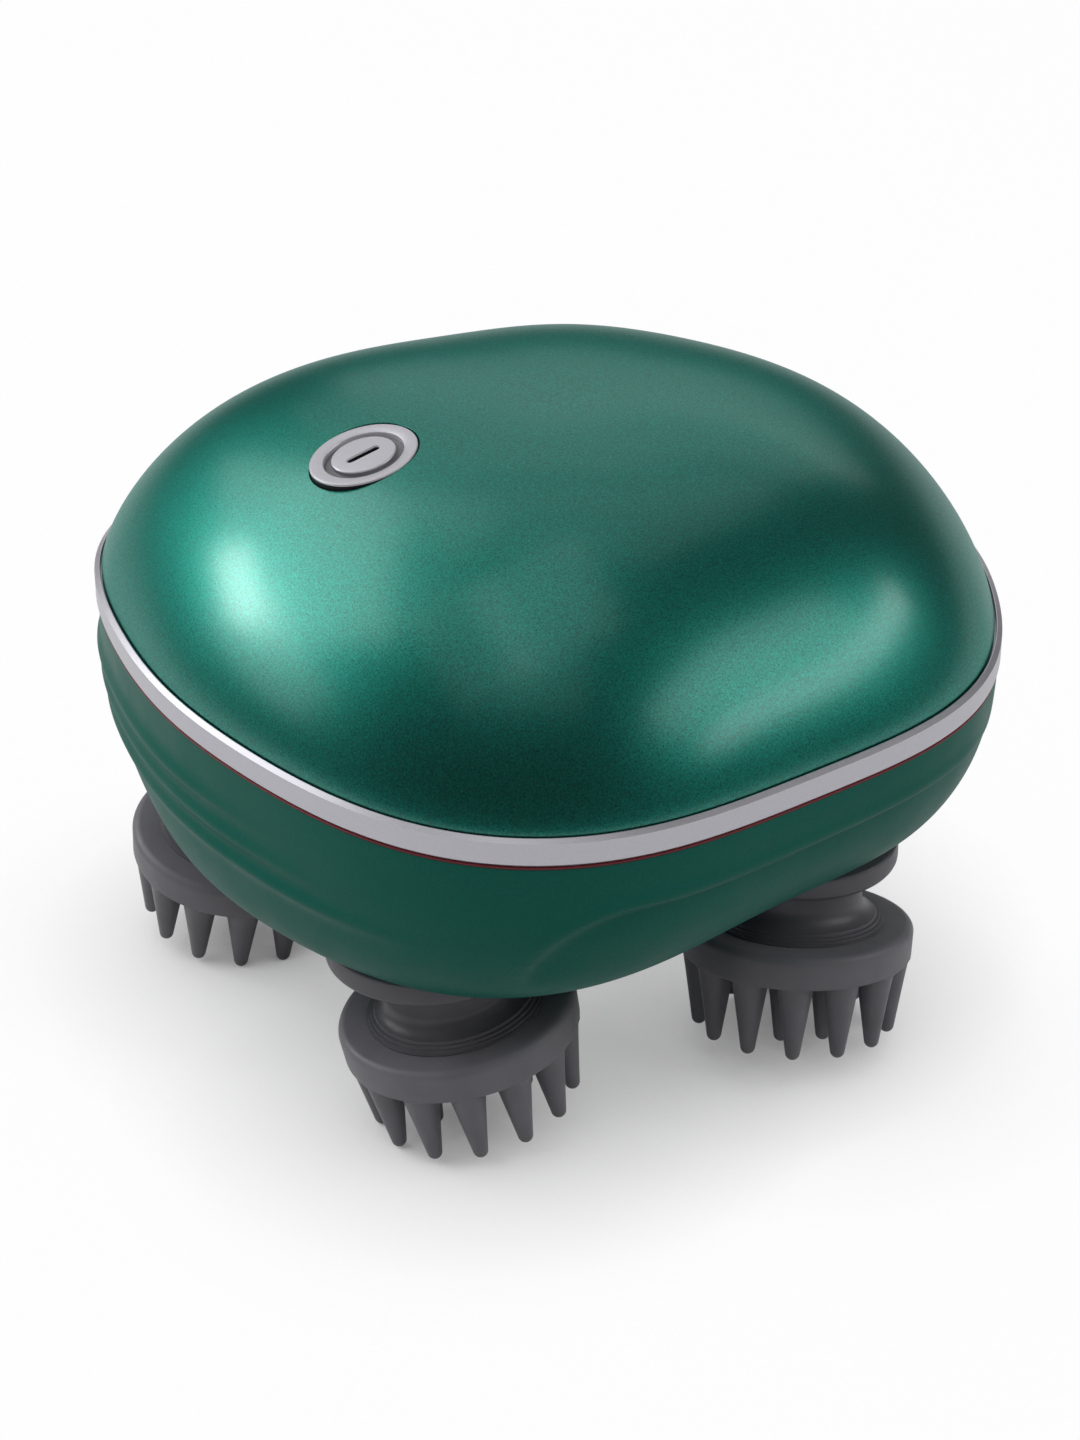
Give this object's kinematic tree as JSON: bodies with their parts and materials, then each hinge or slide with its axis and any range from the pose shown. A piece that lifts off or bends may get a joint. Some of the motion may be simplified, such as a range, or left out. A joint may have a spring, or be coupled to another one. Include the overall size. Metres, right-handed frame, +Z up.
{
  "type": "electric pet massager",
  "caption": "Cordless hand-held kneading massager with a domed body, a push button and geared rotating silicone heads with soft teeth.",
  "frame": {"origin": "on the floor under the middle of the body's box, at the height of the lowest tooth tips", "axes": "+Z up, -X towards the end with the button, Y across the body"},
  "size_m": [0.1126, 0.116, 0.0831],
  "materials": {
    "dome_paint": "fine metallic flake paint under clear coat",
    "belly_paint": "satin green",
    "silver_trim": "satin",
    "red_seal": "matte",
    "grey_silicone": "soft matte",
    "grey_plastic": "fine satin",
    "black_plastic": "satin",
    "gear_plastic": "smooth acetal",
    "steel": "turned",
    "bronze": "sintered",
    "circuit_board": "solder mask",
    "gold_contact": "plated",
    "cell_sleeve": "shrink sleeve over the can",
    "light_bar": "smoked clear"
  },
  "bodies": {
    "housing": {"top_shell": "dome_paint", "trim_band": "silver_trim", "parting_seal": "red_seal", "lower_shell": "belly_paint", "button_bezel": "silver_trim", "button_gasket": "black_plastic", "tact_switch": "steel", "indicator_led": "gear_plastic", "button_board": "circuit_board", "control_board": "circuit_board", "board_parts": "black_plastic", "board_screws": "steel", "battery_cell": "cell_sleeve", "battery_tray": "black_plastic", "charge_socket": "black_plastic", "charge_contacts": "gold_contact", "motor_can": "steel", "motor_screws": "steel", "gearbox_base": "black_plastic", "gearbox_cover": "black_plastic", "gearbox_screws": "steel", "central_axle": "steel", "cluster_axle": "steel", "lower_bushes": "bronze", "upper_bushes": "bronze", "shaft_seals": "black_plastic", "case_screws": "steel", "screw_plugs": "belly_paint"},
    "button": {"button_cap": "silver_trim", "button_light_bar": "light_bar", "switch_plunger": "black_plastic"},
    "motor_rotor": {"motor_shaft": "steel", "motor_pinion": "bronze"},
    "central_wheel": {"central_gear": "gear_plastic"},
    "cluster_wheel": {"cluster_gear": "gear_plastic"},
    "head_1": {"output_gear_1": "gear_plastic", "output_shaft_1": "steel", "rotor_1": "grey_plastic", "head_hub_1": "grey_plastic", "head_pad_1": "grey_silicone", "hub_screw_1": "steel"},
    "head_2": {"output_gear_2": "gear_plastic", "output_shaft_2": "steel", "rotor_2": "grey_plastic", "head_hub_2": "grey_plastic", "head_pad_2": "grey_silicone", "hub_screw_2": "steel"},
    "head_3": {"output_gear_3": "gear_plastic", "output_shaft_3": "steel", "rotor_3": "grey_plastic", "head_hub_3": "grey_plastic", "head_pad_3": "grey_silicone", "hub_screw_3": "steel"},
    "head_4": {"output_gear_4": "gear_plastic", "output_shaft_4": "steel", "rotor_4": "grey_plastic", "head_hub_4": "grey_plastic", "head_pad_4": "grey_silicone", "hub_screw_4": "steel"}
  },
  "joints": [
    {"name": "button_press", "type": "slide", "parent": "housing", "child": "button", "axis": [0.2504, 0, -0.9681], "range_m": [0, 0.0006], "stiffness_N_per_m": 1500},
    {"name": "central_spin", "type": "hinge", "parent": "housing", "child": "central_wheel", "pos_m": [-0.0062, 0, 0.038], "axis": [0, 0, 1], "continuous": true},
    {"name": "cluster_spin", "type": "hinge", "parent": "housing", "child": "cluster_wheel", "pos_m": [0.0226, 0, 0.038], "axis": [0, 0, 1], "continuous": true},
    {"name": "motor_spin", "type": "hinge", "parent": "housing", "child": "motor_rotor", "pos_m": [0.0046, 0, 0.038], "axis": [0, 0, 1], "continuous": true},
    {"name": "head_1_spin", "type": "hinge", "parent": "housing", "child": "head_1", "pos_m": [-0.03391, 0.02452, 0.038], "axis": [0, 0, 1], "continuous": true},
    {"name": "head_2_spin", "type": "hinge", "parent": "housing", "child": "head_2", "pos_m": [-0.03391, -0.02452, 0.038], "axis": [0, 0, 1], "continuous": true},
    {"name": "head_3_spin", "type": "hinge", "parent": "housing", "child": "head_3", "pos_m": [0.01908, -0.02702, 0.038], "axis": [0, 0, 1], "continuous": true},
    {"name": "head_4_spin", "type": "hinge", "parent": "housing", "child": "head_4", "pos_m": [0.01908, 0.02702, 0.038], "axis": [0, 0, 1], "continuous": true}
  ],
  "couplings": [
    {"joint": "head_1_spin", "follows": "central_spin", "ratio": -2.0833},
    {"joint": "head_2_spin", "follows": "central_spin", "ratio": -2.0833},
    {"joint": "head_3_spin", "follows": "central_spin", "ratio": -2.0833},
    {"joint": "head_4_spin", "follows": "central_spin", "ratio": -2.0833},
    {"joint": "cluster_spin", "follows": "central_spin", "ratio": -5},
    {"joint": "motor_spin", "follows": "central_spin", "ratio": 25}
  ]
}
